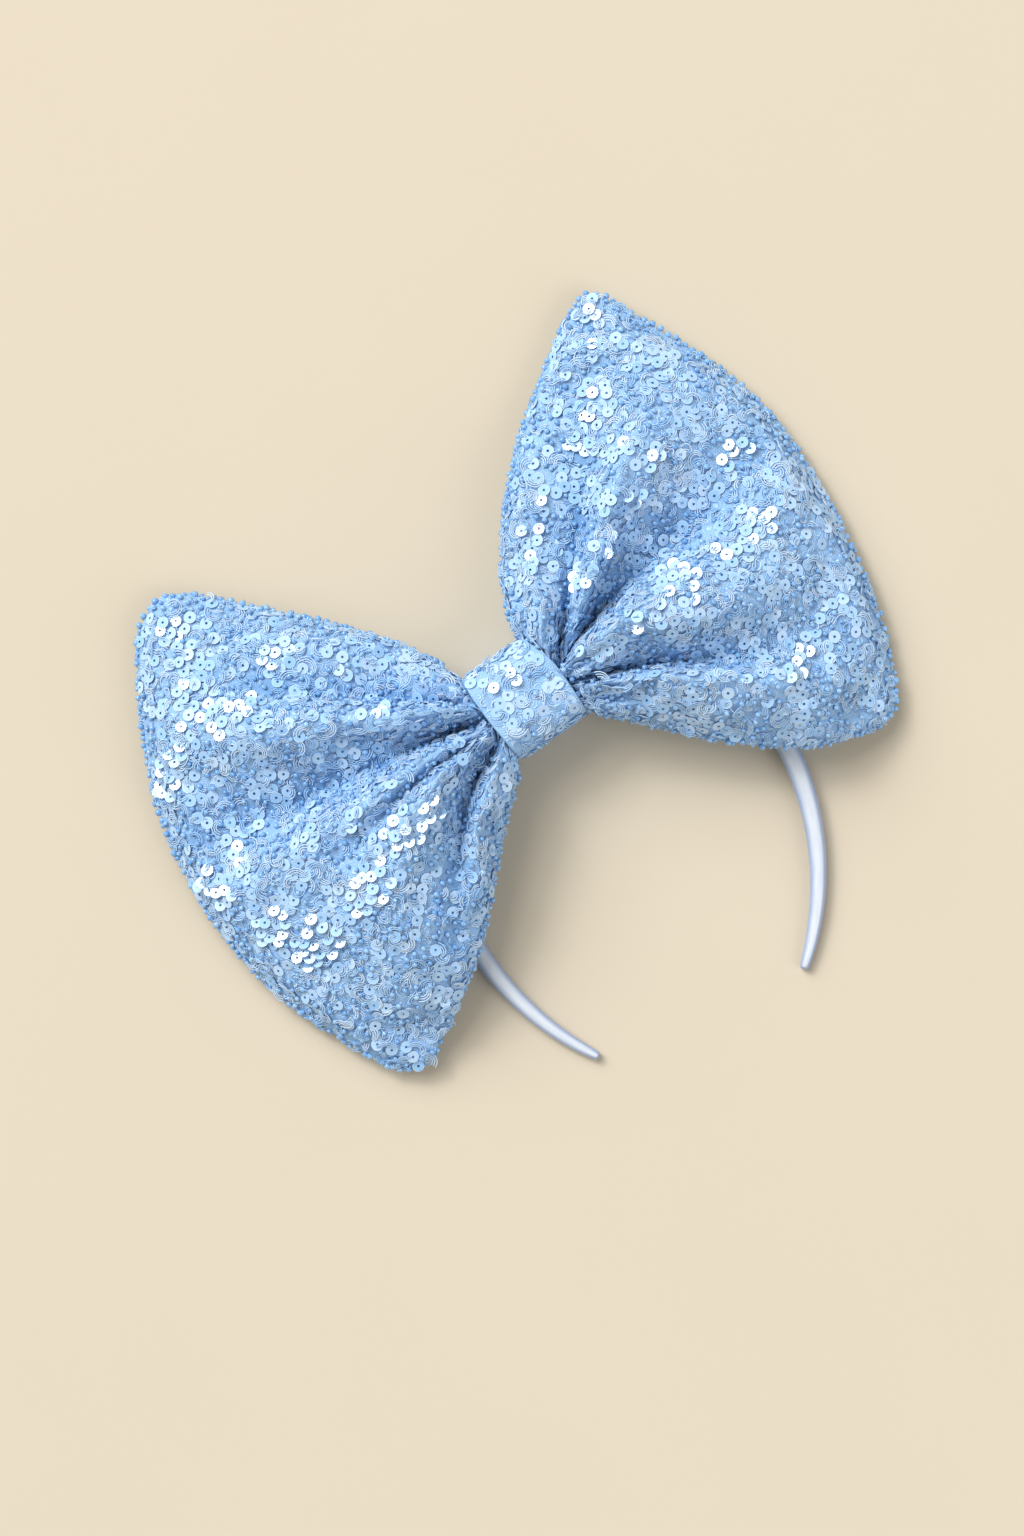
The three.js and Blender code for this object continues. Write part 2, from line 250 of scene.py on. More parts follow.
SEAM_THICKNESS = 3.0
NECK_HALF_HEIGHT = 15.9
GAP = 0.3
CLEARANCE_HEIGHT, CLEARANCE_RIDGE, CLEARANCE_EDGE = 12.3, 7.0, 48.0
LOOP_ROWS = 120
LOOP_COLUMNS = 170
SEAM_CROWDING = 1.15      # in radians; the columns are 2.4 times as close at the seams
LIP_STEPS = 5
LIP_BULGE = 0.8           # how far the seam's lip stands out, as a share of its half height
END_BULGE = 1.2
END_ROUNDING = np.radians([30, 60, 82])
SHOULDER = 0.3            # the height of the shoulders beside a fold, as a share of its depth
FULL_CREASE = 10.0        # a fold this deep is a full crease
DENT_LENGTHS = (46, 21)
GATHER_TURNS = (21, 37)   # radians from the middle of the loop to a seam, for each wave
GATHER_HEIGHTS = (0.75, 0.5)
GATHER_FADE = (0.10, 0.42)
BACK_PULL = 0.35          # the share of a fold that shows in the back
SETTLE_ROWS, SETTLE_COLUMNS = 56, 84
SETTLE_CROWDING = 1.3     # the power of even steps that brings the net's rows closer at the knot
SETTLE_FRAMES = 24
SETTLE_SCALE = 10.0       # simulated ten times life size, where the solver is steady
CLOTH_EASE = 0.035        # how much larger than the pillow the cloth is cut
WADDING_PUSH = 0.15
MOST_SETTLING = 3.0       # no place moves further
CLOTH = "#9ccaf8"
CLOTH_DEEP = "#7fb5ef"
CLOTH_PALE = "#bcdcfc"
# the dark blue painted into the creases as painted shade
PAINTED_SHADE_BLUE = "#5590cf"
BACK_CLOTH = "#a2ccf2"
STITCH_CENTRES = 5.0      # between the centres of two rings
STITCH_SPACING = 0.85     # between two lines
WEAVE_CELL = 0.8          # the back's real weave is 0.3 mm, too fine to show

# Where the wrap's two edges run, seen from the front
wrap_edges = np.array([
    (-19, -15.2, 17.5),
    (0, -16.6, 17.7),
    (9, -16.8, 16.4),
    (19, -16.4, 13.2),
], dtype=[("y", float), ("left", float), ("right", float)])

# The loops' profile from the mouth of the wrap, s = 0, to the outer edge, s = 1
fullness = np.array([
    (0.00, 20, 0.50, 0.0),
    (0.07, 26, 0.46, 0.0),
    (0.25, 34, 0.32, 0.0),
    (0.50, 37, 0.24, 0.0),
    (0.75, 31, 0.20, 0.4),
    (0.90, 20, 0.20, 2.2),
    (0.96, 13, 0.20, 3.6),
    (1.00, 3, 0.20, 5.0),
], dtype=[("s", float), ("thickness", float), ("back_share", float), ("edge_lift", float)])

# A fold runs from t = mouth at the knot to t = end at s = reach, where it is gone, and t goes from
# -1 at the bottom seam to 1 at the top one
fold_columns = [("mouth", float), ("end", float), ("reach", float), ("depth", float), ("width", float)]

left_loop = {
    "name": "left", "side": -1,
    "top": [(-18.6, 24), (-30, 46), (-46, 66), (-70, 92), (-88, 109.5), (-97, 114)],
    "outer": [(-119, -96), (-126.5, -88), (-136.5, -68), (-145, -44), (-150, -16), (-149.5, 12),
              (-143, 46), (-130, 76), (-114, 102), (-106, 110.5), (-97, 114)],
    "bottom": [(-19, -22), (-38, -39), (-62, -62.5), (-86, -81), (-104, -91.5), (-112.5, -96),
               (-119, -96)],
    "folds": np.array([
        (0.43, 0.73, 0.95, 13.0, 0.10),
        (0.26, 0.34, 0.34, 4.0, 0.05),
        (0.03, 0.17, 1.25, 18.0, 0.10),
        (-0.14, -0.20, 0.65, 9.0, 0.06),
        (-0.29, -0.42, 0.30, 4.0, 0.05),
        (-0.43, -1.00, 0.72, 15.0, 0.09),
    ], dtype=fold_columns),
}

right_loop = {
    "name": "right", "side": 1,
    "top": [(13.9, 19.6), (13.6, 24), (18, 36.5), (34, 61), (58, 84), (82, 101), (100, 112),
            (111, 116.5)],
    "outer": [(118, -87.5), (123, -80), (131, -62), (138, -38), (143, -8), (144.5, 22),
              (141.5, 50), (131, 80), (120, 104), (116, 113), (111, 116.5)],
    "bottom": [(19.6, -19.4), (34, -35), (50, -52.5), (66, -67.5), (84, -80), (100, -86.5),
               (111, -88.5), (118, -87.5)],
    "folds": np.array([
        (0.66, 0.90, 0.34, 4.0, 0.06),
        (0.17, 0.93, 0.90, 19.0, 0.10),
        (0.05, 0.15, 1.00, 20.0, 0.10),
        (-0.14, -0.22, 0.30, 3.0, 0.05),
        (-0.38, -0.64, 0.95, 17.0, 0.07),
        (-0.72, -0.78, 0.35, 4.0, 0.07),
    ], dtype=fold_columns),
}


def smoothstep(low, high, value):
    """Rises from 0 at low to 1 at high, level at both ends."""
    u = np.clip((value - low) / (high - low), 0, 1)
    return u * u * (3 - 2 * u)


def read_column(table, key, column, value):
    """A smooth curve through a table's rows: a cubic between two rows, whose slope at a row is the
    slope between the rows before and after it."""
    x, y = table[key], table[column]
    before = np.maximum(np.arange(len(x)) - 1, 0)
    after = np.minimum(np.arange(len(x)) + 1, len(x) - 1)
    slope = (y[after] - y[before]) / (x[after] - x[before])
    k = np.clip(np.searchsorted(x, value) - 1, 0, len(x) - 2)
    span = x[k + 1] - x[k]
    u = np.clip((value - x[k]) / span, 0, 1)
    bend = u * (1 - u) * ((1 - u) * slope[k] - u * slope[k + 1])
    return y[k] + (y[k + 1] - y[k]) * u * u * (3 - 2 * u) + span * bend


def smooth_curve(points, fraction):
    """A centripetal Catmull-Rom curve through the points, read at fractions of its length."""
    p = np.asarray(points, dtype=float)
    p = np.vstack([2 * p[0] - p[1], p, 2 * p[-1] - p[-2]])
    knots = np.concatenate([[0], np.cumsum(np.linalg.norm(np.diff(p, axis=0), axis=1) ** 0.5)])
    u = np.linspace(knots[1], knots[-2], 600)
    k = np.clip(np.searchsorted(knots, u) - 1, 1, len(p) - 3)

    def blend(first, second, low, high):
        weight = ((u - knots[low]) / (knots[high] - knots[low]))[:, None]
        return first * (1 - weight) + second * weight

    a = [blend(p[k + j - 1], p[k + j], k + j - 1, k + j) for j in (0, 1, 2)]
    b = [blend(a[j], a[j + 1], k + j - 1, k + j + 1) for j in (0, 1)]
    curve = blend(b[0], b[1], k, k + 1)
    length = np.concatenate([[0], np.cumsum(np.linalg.norm(np.diff(curve, axis=0), axis=1))])
    at = np.asarray(fraction) * length[-1]
    return np.stack([np.interp(at, length, curve[:, j]) for j in (0, 1)], -1)


def wrap_edge(side, y):
    """Where the wrap's edge on that side runs at a height y."""
    return read_column(wrap_edges, "y", "left" if side < 0 else "right", y)


def loop_plan(loop, s, t):
    """The four edges of the loop's outline blended across: bottom to top by t, and the mouth to
    the outer edge by s, less the blend of the four corners (a Coons patch)."""
    side = loop["side"]
    s, t = np.broadcast_arrays(s, t)
    up = (t + 1) / 2

    def mouth(v):
        y = v * NECK_HALF_HEIGHT
        return np.stack([wrap_edge(side, y) + side * GAP, y], -1)

    ends = mouth(np.array([-1.0, 1.0]))
    top = smooth_curve([ends[1], *loop["top"]], s)
    bottom = smooth_curve([ends[0], *loop["bottom"]], s)
    outer = smooth_curve(loop["outer"], up)
    s, up = s[..., None], up[..., None]
    low = (1 - s) * ends[0] + s * loop["bottom"][-1]
    high = (1 - s) * ends[1] + s * loop["top"][-1]
    edges = (1 - up) * bottom + up * top + (1 - s) * mouth(t) + s * outer
    return edges - (1 - up) * low - up * high


def waves(x, y, length, seed, count=7):
    """An uneven field from about -1 to 1: a scaled sum of sine waves of about that length that
    cross at random angles."""
    draw = np.random.default_rng(seed)
    total = np.zeros(np.broadcast(x, y).shape)
    for _ in range(count):
        angle, phase = draw.uniform(0, 2 * np.pi, 2)
        size = length * draw.uniform(0.75, 1.35)
        total += np.sin(2 * np.pi * (x * np.cos(angle) + y * np.sin(angle)) / size + phase)
    return total / np.sqrt(count / 2) / 1.6


def fold_depth(loop, s, t):
    """How far the folds sink the cloth, and how much of each place is crease, from 0 to 1. A fold
    is a groove that is sharp where it leaves the knot and soft further out, twice as wide above its
    line as below, with a low rounded shoulder along each side, and it is gone at its reach."""
    total = np.zeros(np.broadcast(s, t).shape)
    crease = np.zeros(total.shape)
    for fold in loop["folds"]:
        q = np.minimum(s / fold["reach"], 1)
        above = t - fold["mouth"] - (fold["end"] - fold["mouth"]) * q
        width = fold["width"] * (1 + q) * (1 + 0.35 * np.tanh(above / 0.03))
        offset = np.abs(above) / width
        fade = (1 - q * q) * (0.3 + 0.7 * smoothstep(0, 0.12, s))
        groove = np.exp(-(offset ** (1.2 + 0.8 * q)))
        shoulder = SHOULDER * np.exp(-((offset - 1.9) / 0.8) ** 2)
        total += fold["depth"] * fade * (groove - shoulder)
        sharpness = np.minimum(fold["depth"] / FULL_CREASE, 1) * fade
        crease = np.maximum(crease, sharpness * np.exp(-(offset * 2.2) ** 1.5))
    return total, crease


def gathers(loop, s, t):
    """Small pleats that fan out of the knot between the folds and die away before the middle of
    the loop: two sine waves across the cloth, which a slower sine puts out of step."""
    seed = 3 if loop["side"] < 0 else 8
    shift = 0.8 * np.sin(3.1 * t + seed)
    near = smoothstep(0, 0.03, s) * (1 - smoothstep(*GATHER_FADE, s))
    broad = GATHER_HEIGHTS[0] * np.sin(GATHER_TURNS[0] * t + shift + seed)
    fine = GATHER_HEIGHTS[1] * np.sin(GATHER_TURNS[1] * t - 2 * shift)
    return near * (broad + fine)


def lift_over_band(x, y):
    """The height of the loop's back where it passes over the band and down to the surface."""
    from_band = np.hypot(x - BAND_CENTRE[0], y - BAND_CENTRE[1]) - CROWN_RADIUS
    return CLEARANCE_HEIGHT * (1 - smoothstep(CLEARANCE_RIDGE, CLEARANCE_EDGE, from_band))


def loop_sheets(loop, s, t):
    """The back and front sheets of the padded loop as grids of points, and the crease of each
    place. The thickness swells from the two seams towards the middle, part of it goes below the
    seam and the rest above, and the folds, gathers and small dents are cut into the front."""
    x, y = np.moveaxis(loop_plan(loop, s, t), -1, 0)
    full = read_column(fullness, "s", "thickness", s)
    swell = (1 - np.abs(t) ** 2.4) ** (0.5 + 0.3 * s)
    thickness = SEAM_THICKNESS + (full - SEAM_THICKNESS) * swell
    fold, crease = fold_depth(loop, s, t)
    fold = fold * swell * (1 - smoothstep(0.78, 1, s))
    share = read_column(fullness, "s", "back_share", s)
    back = lift_over_band(x, y) + read_column(fullness, "s", "edge_lift", s)
    back = back + share * (full - thickness)
    dents = waves(x, y, DENT_LENGTHS[0], 11) + waves(x, y, DENT_LENGTHS[1], 12) * 0.35
    front = back + thickness - fold + swell * smoothstep(0, 0.2, s) * smoothstep(1, 0.9, s) * dents
    front = front + gathers(loop, s, t) * swell
    back = back + BACK_PULL * np.maximum(fold, 0)
    return np.stack([x, y, back], -1), np.stack([x, y, front], -1), crease


def seam_to_seam(count):
    """Values of t from -1 to 1 that crowd together at the two seams: the sine of even steps."""
    return np.sin(SEAM_CROWDING * np.linspace(-1, 1, count)) / np.sin(SEAM_CROWDING)


def spread_over(values, rows_at, columns_at, s, t):
    """Values on a coarse grid read in straight lines at a finer one, along the rows and then across
    them, and evened out twice with their neighbours."""
    for axis, at, wanted in ((0, rows_at, s), (1, columns_at, t)):
        k = np.clip(np.searchsorted(at, wanted) - 1, 0, len(at) - 2)
        u = (wanted - at[k]) / (at[k + 1] - at[k])
        u = u[:, None, None] if axis == 0 else u[None, :, None]
        values = np.take(values, k, axis) * (1 - u) + np.take(values, k + 1, axis) * u
    for _ in range(2):
        values[1:-1, 1:-1] = (2 * values[1:-1, 1:-1] + values[2:, 1:-1] + values[:-2, 1:-1]
                              + values[1:-1, 2:] + values[1:-1, :-2]) / 6
    return values


def settle(loop, s, t):
    """How far each place of the front sheet moves when it settles as cloth. The sheet is cut a
    little larger than the pillow, held at the seam, in the neck and along the creases, and pushed
    out by the wadding, so it puffs between the creases and buckles towards the knot. A move of
    size d is shortened to the most allowed times the hyperbolic tangent of d over it."""
    coarse_s = np.linspace(0, 1, SETTLE_ROWS) ** SETTLE_CROWDING
    coarse_t = seam_to_seam(SETTLE_COLUMNS)
    front, crease = loop_sheets(loop, coarse_s[:, None], coarse_t[None, :])[1:]
    index = np.arange(SETTLE_ROWS * SETTLE_COLUMNS).reshape(SETTLE_ROWS, SETTLE_COLUMNS)
    quads = np.stack([index[:-1, :-1], index[1:, :-1], index[1:, 1:], index[:-1, 1:]], -1)
    quads = quads.reshape(-1, 4)
    if loop["side"] < 0:
        quads = quads[:, ::-1]
    piece = mesh_piece("settling", front.reshape(-1, 3) * SETTLE_SCALE, quads)
    held = np.clip(crease * 1.6, 0, 1) ** 2
    held[:2] = held[-2:] = held[:, :2] = held[:, -2:] = 1
    levels = np.round(held.ravel(), 1)
    group = piece.vertex_groups.new(name="held")
    for level in np.unique(levels[levels > 0]):
        group.add(np.flatnonzero(levels == level).tolist(), float(level), "REPLACE")

    cloth = piece.modifiers.new("cloth", "CLOTH")
    cloth.settings.quality = 6
    cloth.settings.mass = 0.3
    cloth.settings.tension_stiffness = 12
    cloth.settings.compression_stiffness = 12
    cloth.settings.shear_stiffness = 4
    cloth.settings.bending_stiffness = 0.3
    cloth.settings.air_damping = 3
    cloth.settings.vertex_group_mass = "held"
    cloth.settings.shrink_min = -CLOTH_EASE
    cloth.settings.use_pressure = True
    cloth.settings.uniform_pressure_force = WADDING_PUSH
    cloth.settings.effector_weights.gravity = 0
    cloth.collision_settings.use_collision = False
    cloth.point_cache.frame_start = 1
    cloth.point_cache.frame_end = SETTLE_FRAMES
    for frame_number in range(1, SETTLE_FRAMES + 1):
        bpy.context.scene.frame_set(frame_number)
    settled = np.empty(front.size, dtype=np.float32)
    seen = piece.evaluated_get(bpy.context.evaluated_depsgraph_get())
    seen.data.vertices.foreach_get("co", settled)
    bpy.data.meshes.remove(piece.data)
    bpy.context.scene.frame_set(1)

    move = settled.reshape(front.shape) / (SETTLE_SCALE * MM) - front
    size = np.linalg.norm(move, axis=-1, keepdims=True) + 1e-9
    move = move / size * MOST_SETTLING * np.tanh(size / MOST_SETTLING)
    return spread_over(move, coarse_s, coarse_t, s, t)


def loop_cloth(loop):
    """The whole pillow: rings of cloth from the hidden end of the neck to the outer edge, each up
    the front sheet, round the seam's lip and down the back sheet. Three smaller rings round the
    outer edge off. Returns the object, the front sheet's grid and its creases."""
    side = loop["side"]
    s = (1 - np.cos(np.pi * np.linspace(0, 1, LOOP_ROWS))) / 2
    t = seam_to_seam(LOOP_COLUMNS)
    back, front, crease = loop_sheets(loop, s[:, None], t[None, :])
    front = front + settle(loop, s, t)
    neck_back, neck_front = back[:1].copy(), front[:1].copy()
    neck_back[..., 0] = neck_front[..., 0] = side * GAP / 2
    back = np.concatenate([neck_back, back])
    front_rows = np.concatenate([neck_front, front])

    def lip(start, end, outward):
        """A half circle from the front sheet's edge to the back sheet's, bulging outwards."""
        angle = np.pi * np.arange(1, LIP_STEPS) / LIP_STEPS
        middle, arm = (start + end) / 2, (start - end) / 2
        reach = np.linalg.norm(arm, axis=-1, keepdims=True)
        return [middle + arm * np.cos(a) + outward * reach * LIP_BULGE * np.sin(a) for a in angle]

    def outward_of(sheet, inner, outer):
        """The level direction from one column of the sheet to another, and none at the neck."""
        flat = (sheet[:, outer] - sheet[:, inner]) * (1, 1, 0)
        flat[0] = (0, 0, 0)
        return unit(flat + 1e-9)

    top_lip = lip(front_rows[:, -1], back[:, -1], outward_of(front_rows, -4, -1))
    low_lip = lip(back[:, 0], front_rows[:, 0], outward_of(front_rows, 3, 0))
    rings = np.concatenate([front_rows, np.stack(top_lip, 1), back[:, ::-1], np.stack(low_lip, 1)], 1)
    sides = rings.shape[1]
    last = rings[-1]
    middle = (last + np.roll(last[::-1], LIP_STEPS - 1, axis=0)) / 2
    outward = unit((middle - rings[-4].mean(0)) * (1, 1, 0))
    rounded = [middle + (last - middle) * np.cos(a) + outward * END_BULGE * np.sin(a)
               for a in END_ROUNDING]
    points = np.concatenate([rings, np.stack(rounded)]).reshape(-1, 3)
    rows = len(points) // sides
    faces = skin(rows, sides)
    piece = mesh_piece(loop["name"] + "_loop_cloth", points, faces_out(points, faces))
    on_front = np.zeros(sides)
    on_front[:LOOP_COLUMNS] = 1
    on_front[LOOP_COLUMNS:LOOP_COLUMNS + LIP_STEPS - 1] = 0.7
    on_front[-(LIP_STEPS - 1):] = 0.7
    store(piece, "front", np.tile(on_front, rows))
    # The creases go to the material as painted shade, and the first row, hidden in the neck, is painted
    # fully dark.
    depth = np.zeros((rows, sides))
    depth[1:LOOP_ROWS + 1, :LOOP_COLUMNS] = crease
    depth[0, :LOOP_COLUMNS] = 1
    store(piece, "crease", depth)
    return piece, front, crease


def embroidered_cloth():
    """Blue polyester mesh closed all over with fine stitching: pale raised lines lie in rings and
    arcs round many small centres, on a deeper blue ground. Down in the creases the colour is painted a
    darker blue, as painted shade. The back panel is bare woven cloth."""
    material, tree, output = start_material("embroidered polyester cloth")
    place = add_node(tree, "ShaderNodeTexCoord").outputs["Object"]
    bend = add_node(tree, "ShaderNodeTexNoise", {"Vector": place, "Scale": 160.0, "Detail": 2})
    bent = add_node(tree, "ShaderNodeVectorMath", {0: bend.outputs["Color"], 1: (0.003, 0.003, 0.003)},
                    operation="MULTIPLY")
    moved = add_node(tree, "ShaderNodeVectorMath", {0: place, 1: bent.outputs[0]}, operation="ADD")
    cells = add_node(tree, "ShaderNodeTexVoronoi", {"Vector": moved.outputs[0],
                                                    "Scale": 1000 / STITCH_CENTRES})
    turns = add_node(tree, "ShaderNodeMath", {0: cells.outputs["Distance"],
                                              1: 2 * math.pi * STITCH_CENTRES / STITCH_SPACING},
                     operation="MULTIPLY")
    ring = add_node(tree, "ShaderNodeMath", {0: turns.outputs[0]}, operation="SINE")
    line = add_node(tree, "ShaderNodeMapRange", {"Value": ring.outputs[0], "From Min": -0.2,
                                                 "From Max": 0.9, "To Min": 0.0, "To Max": 1.0})
    cloud = add_node(tree, "ShaderNodeTexNoise", {"Vector": place, "Scale": 90.0, "Detail": 3})
    ground = add_node(tree, "ShaderNodeMix", {"Factor": cloud.outputs["Fac"], "A": linear(CLOTH_DEEP),
                                              "B": linear(CLOTH)}, data_type="RGBA")
    stitched = add_node(tree, "ShaderNodeMix", {"Factor": line.outputs[0],
                                                "A": ground.outputs["Result"],
                                                "B": linear(CLOTH_PALE)}, data_type="RGBA")
    # Painted shade: the colour goes towards a dark blue by how much of each place is crease
    crease = add_node(tree, "ShaderNodeAttribute", attribute_name="crease")
    sunk = add_node(tree, "ShaderNodeMix", {"Factor": crease.outputs["Fac"],
                                            "A": stitched.outputs["Result"],
                                            "B": linear(PAINTED_SHADE_BLUE)}, data_type="RGBA")
    front = add_node(tree, "ShaderNodeAttribute", attribute_name="front")
    colour = add_node(tree, "ShaderNodeMix", {"Factor": front.outputs["Fac"], "A": linear(BACK_CLOTH),
                                              "B": sunk.outputs["Result"]}, data_type="RGBA")
    weave = add_node(tree, "ShaderNodeTexVoronoi", {"Vector": place, "Scale": 1000 / WEAVE_CELL,
                                                    "Randomness": 0.3}, distance="CHEBYCHEV")
    height = add_node(tree, "ShaderNodeMix", {"Factor": front.outputs["Fac"],
                                              "A": weave.outputs["Distance"], "B": line.outputs[0]})
    bump = add_node(tree, "ShaderNodeBump", {"Height": height.outputs[0], "Strength": 0.8,
                                             "Distance": 0.0004})
    shader = add_node(tree, "ShaderNodeBsdfPrincipled", {
        "Base Color": colour.outputs["Result"], "Roughness": 0.5, "Specular IOR Level": 0.3,
        "Normal": bump.outputs[0]})
    tree.links.new(shader.outputs[0], output.inputs[0])
    return material


cloth_material = embroidered_cloth()
fronts = {}
creases = {}
for loop in (left_loop, right_loop):
    cloth, fronts[loop["name"]], creases[loop["name"]] = loop_cloth(loop)
    cloth.data.materials.append(cloth_material)
    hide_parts(loop["name"] + "_loop")
    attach(cloth, "root")


# The knot is a strip of the same cloth, folded in along both edges and bound once round the two
# gathered necks and the band. It is sewn closed at the back, where it lies flat.

WRAP_HALF_HEIGHT = 18.75
WRAP_DEPTH = 36.8
WRAP_THICKNESS = 2.2
WRAP_FRONT_RADIUS, WRAP_BACK_RADIUS = 11.0, 7.0
WRAP_ARC_STEPS = 16
WRAP_SIDE_STEPS = 26
WRAP_ACROSS = 40
HEM_ROUNDING = 1.0
HEM_STEPS = 7
WRAP_FULLNESS = 0.4
WRAP_DENTS = 0.16
WRAP_DENT_LENGTH = 13

# Shallow pleats in the wrap's face, each along a line y = middle + slope times x
wrap_pleats = np.array([
    (-13.2, 0.10, 0.9, 0.75),
    (-10.4, 0.16, 0.7, 0.55),
    (14.6, 0.05, 0.8, 0.45),
], dtype=[("middle", float), ("slope", float), ("width", float), ("depth", float)])


def wrap_line():
    """Points and outward directions round a rounded rectangle in Y and Z, from one end of the flat
    back up that side, over the front, down the other side and along the back."""
    front, back = WRAP_FRONT_RADIUS, WRAP_BACK_RADIUS
    corners = [
        (WRAP_HALF_HEIGHT - back, back, back, -90),
        (WRAP_HALF_HEIGHT - front, WRAP_DEPTH - front, front, 0),
        (front - WRAP_HALF_HEIGHT, WRAP_DEPTH - front, front, 90),
        (back - WRAP_HALF_HEIGHT, back, back, 180),
    ]
    places, outs = [], []
    for y, z, radius, start in corners:
        angle = np.radians(start + np.linspace(0, 90, WRAP_ARC_STEPS))
        out = np.stack([np.cos(angle), np.sin(angle)], -1)
        places.append(np.array([y, z]) + radius * out)
        outs.append(out)
    line, out = [], []
    for k in range(4):
        after = (k + 1) % 4
        straight = np.linspace(0, 1, WRAP_SIDE_STEPS, endpoint=False)[1:, None]
        line += [places[k], places[k][-1] * (1 - straight) + places[after][0] * straight]
        out += [outs[k], np.repeat(outs[k][-1:], len(straight), axis=0)]
    return np.concatenate(line), np.concatenate(out)


def wrap_cloth():
    """The folded strip: at each place round the knot a flat section with half-round edges, that
    is a little fuller between its edges where it faces out, with the pleats pressed into it.
    Returns the object and the outer face's grid."""
    line, out = wrap_line()
    across = np.linspace(0, 1, WRAP_ACROSS)
    round_off = np.radians(np.linspace(0, 180, HEM_STEPS)[1:-1])
    left = wrap_edge(-1, line[:, 0])
    right = wrap_edge(1, line[:, 0])
    half = WRAP_THICKNESS / 2
    face_x = left[:, None] + HEM_ROUNDING + (right - left - 2 * HEM_ROUNDING)[:, None] * across
    facing = smoothstep(4, 14, line[:, 1])[:, None]
    dents = waves(face_x, line[:, :1] * 1.4, WRAP_DENT_LENGTH, 5)
    puff = WRAP_FULLNESS * np.sin(np.pi * across) ** 0.5 + WRAP_DENTS * dents
    for pleat in wrap_pleats:
        above = line[:, :1] - (pleat["middle"] + pleat["slope"] * face_x)
        groove = np.exp(-(above / pleat["width"]) ** 2)
        puff = puff - pleat["depth"] * groove * np.sin(np.pi * across) ** 0.3
    outer_depth = facing * puff
    inner_depth = np.full_like(face_x, -WRAP_THICKNESS)
    right_x = right[:, None] - HEM_ROUNDING + HEM_ROUNDING * np.sin(round_off)
    left_x = left[:, None] + HEM_ROUNDING - HEM_ROUNDING * np.sin(round_off)
    side_depth = np.repeat((-half + half * np.cos(round_off))[None], len(line), axis=0)
    x = np.concatenate([face_x, right_x, face_x[:, ::-1], left_x], 1)
    depth = np.concatenate([outer_depth, side_depth, inner_depth, side_depth[:, ::-1]], 1)
    yz = line[:, None] + out[:, None] * depth[..., None]
    points = np.concatenate([x[..., None], yz], -1)
    faces = skin(len(line), points.shape[1], closed=True)
    flat = points.reshape(-1, 3)
    piece = mesh_piece("knot_wrap_cloth", flat, faces_out(flat, faces))
    on_front = np.zeros(points.shape[1])
    on_front[:WRAP_ACROSS] = 1
    store(piece, "front", np.tile(on_front, len(line)))
    return piece, points[line[:, 1] > 4][:, 2:WRAP_ACROSS - 2]


knot, knot_face = wrap_cloth()
knot.data.materials.append(cloth_material)
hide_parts("knot_wrap")
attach(knot, "root")


# Flat sequins 5 mm across, stamped from clear blue film with a pin hole, are sewn down over the
# whole front and crowd together in patches. Round them lie glass seed beads and raised thread.

SEQUIN_RADIUS = 2.45
SEQUIN_HOLE = 0.46
SEQUIN_FILM = 0.16
SEQUIN_SIDES = 14
SEQUIN_SPACING = 3.3
SEQUIN_LIFT = (0.45, 1.0)
BEAD_RADIUS = 1.25
BEAD_FLATTENING = 0.8
BEAD_SIDES = 8
BEAD_SPACING = 3.0
BEAD_LIFT = 0.8
BEAD_SHARE = 0.15       # the share of the beads that stay where loose sequins lie
THREAD_RADIUS = 0.27
THREAD_STEPS = 8
THREAD_STEP = 0.85      # between two threads that run side by side
THREAD_LIFT = (0.25, 1.0)
THREAD_TILT = 0.12
CURL_RADIUS = (0.9, 2.6)
CURL_SWEEP = (1.2, 3.6)
CURL_RISE = (0.1, 0.5)
# Painted shade: how far the tones of sequins, beads and threads are painted darker down in a crease
PAINTED_CREASE_SHADE = 0.5
SEQUIN_PALE = "#b9d9fa"
SEQUIN_BLUE = "#98c7f5"
# the pale line painted along a sequin's cut edge as a painted highlight, and the deep blue painted in
# its pin hole as painted shade
SEQUIN_RIM_HIGHLIGHT = "#d2e7fd"
SEQUIN_HOLE_SHADE = "#4a83bf"
BEAD_PALE = "#98c9f6"
BEAD_BLUE = "#6aa6e3"
THREAD_PALE = "#cfe6fd"
THREAD_BLUE = "#9bcaf8"
PATCH_FRINGE = (0.5, 1.15)     # where a patch may end, as a share of its radius
LOOSE_FRINGE = (-1.1, 1.1)     # what the cloudy field has to pass where a loose sequin lies
LOOSE_LENGTH = 30              # the size of the areas where loose sequins lie thicker
LOOSE_DETAIL = 11

# Most sequins in a patch lean the same way, so that they flash together
LEANING_SHARE = 0.8
LEAN = unit(np.array([-0.08, 0.40, 0.91]))
LEAN_TILT = 0.055
LEAN_LIFT = 0.5

